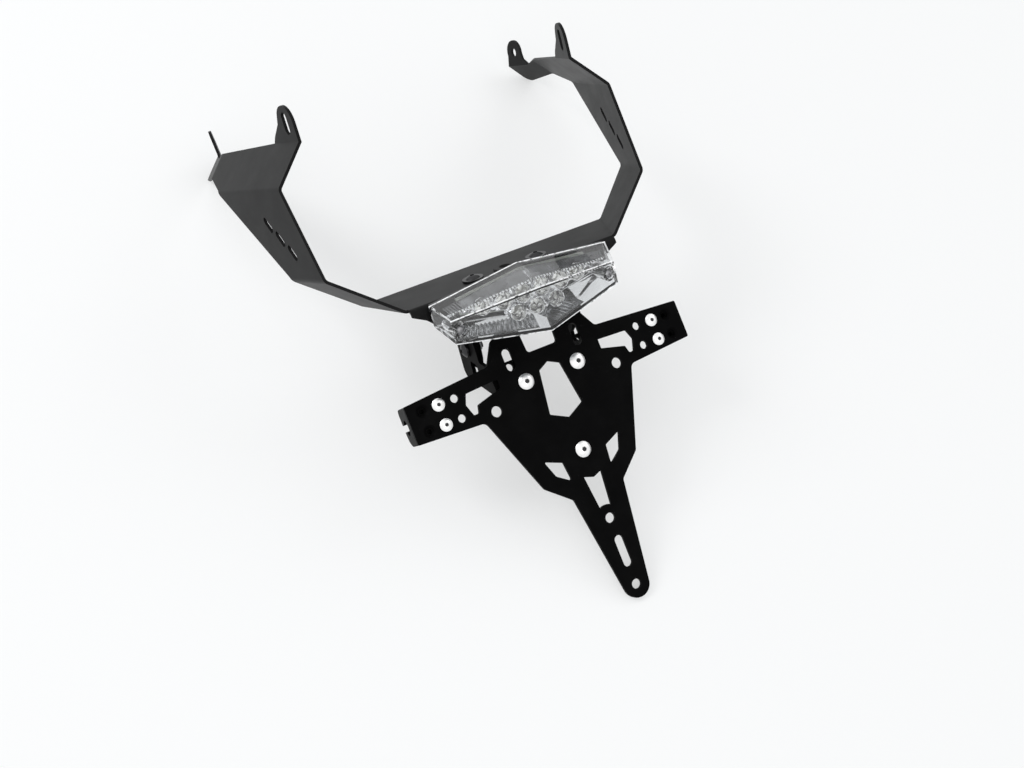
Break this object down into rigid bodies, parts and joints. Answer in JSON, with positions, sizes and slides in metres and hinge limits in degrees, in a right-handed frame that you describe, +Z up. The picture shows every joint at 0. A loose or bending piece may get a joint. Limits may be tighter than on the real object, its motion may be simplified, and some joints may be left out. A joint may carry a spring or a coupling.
{
  "type": "tail tidy",
  "caption": "Folded black sheet hoop with a clear tail light, and a tilting holder for a motorbike's number plate and indicators.",
  "frame": {"origin": "centre of the bounding box at floor level, with the part standing as in the picture on the tip of the holder and on the two feet of the hoop", "axes": "+X to the part's right as seen from the light's side, +Y from the tip of the holder towards the feet of the hoop, +Z up"},
  "size_m": [0.2778, 0.4328, 0.1469],
  "materials": {
    "satin_black_metal": "satin powder coat",
    "matte_black_metal": "matt powder coat",
    "bracket_black": "matt powder coat",
    "bright_steel": "turned and polished",
    "dark_steel": "blackened",
    "zinc_steel": "zinc plated",
    "rubber": "matt",
    "black_plastic": "moulded",
    "clear_plastic": "polished clear plastic",
    "bright_reflector": "vacuum metallised",
    "circuit_board": "white solder mask",
    "led_plastic": "clear epoxy with a light chip",
    "block_black": "matt anodised look"
  },
  "bodies": {
    "hoop": {"tail_hoop": "satin_black_metal", "hoop_screws": "dark_steel", "hoop_nuts": "zinc_steel", "cable_grommet": "rubber", "upper_bracket": "bracket_black", "pivot_screws": "dark_steel", "pivot_washers": "dark_steel", "pivot_nuts": "zinc_steel", "lamp_pan": "black_plastic", "lamp_gasket": "rubber", "led_board": "circuit_board", "leds": "led_plastic", "lamp_reflector": "bright_reflector", "lamp_lens": "clear_plastic", "lens_screws": "bright_steel", "lamp_studs": "zinc_steel", "lamp_nuts": "zinc_steel"},
    "holder": {"plate_holder": "matte_black_metal", "lower_bracket": "bracket_black", "holder_screws": "bright_steel", "holder_nuts": "zinc_steel", "indicator_block_left": "block_black", "indicator_block_right": "block_black", "block_screws": "bright_steel"}
  },
  "joints": [
    {"name": "plate_tilt", "type": "hinge", "parent": "hoop", "child": "holder", "pos_m": [0, -0.03388, 0.04969], "axis": [1, 0, 0], "range_deg": [-8, 12]}
  ]
}
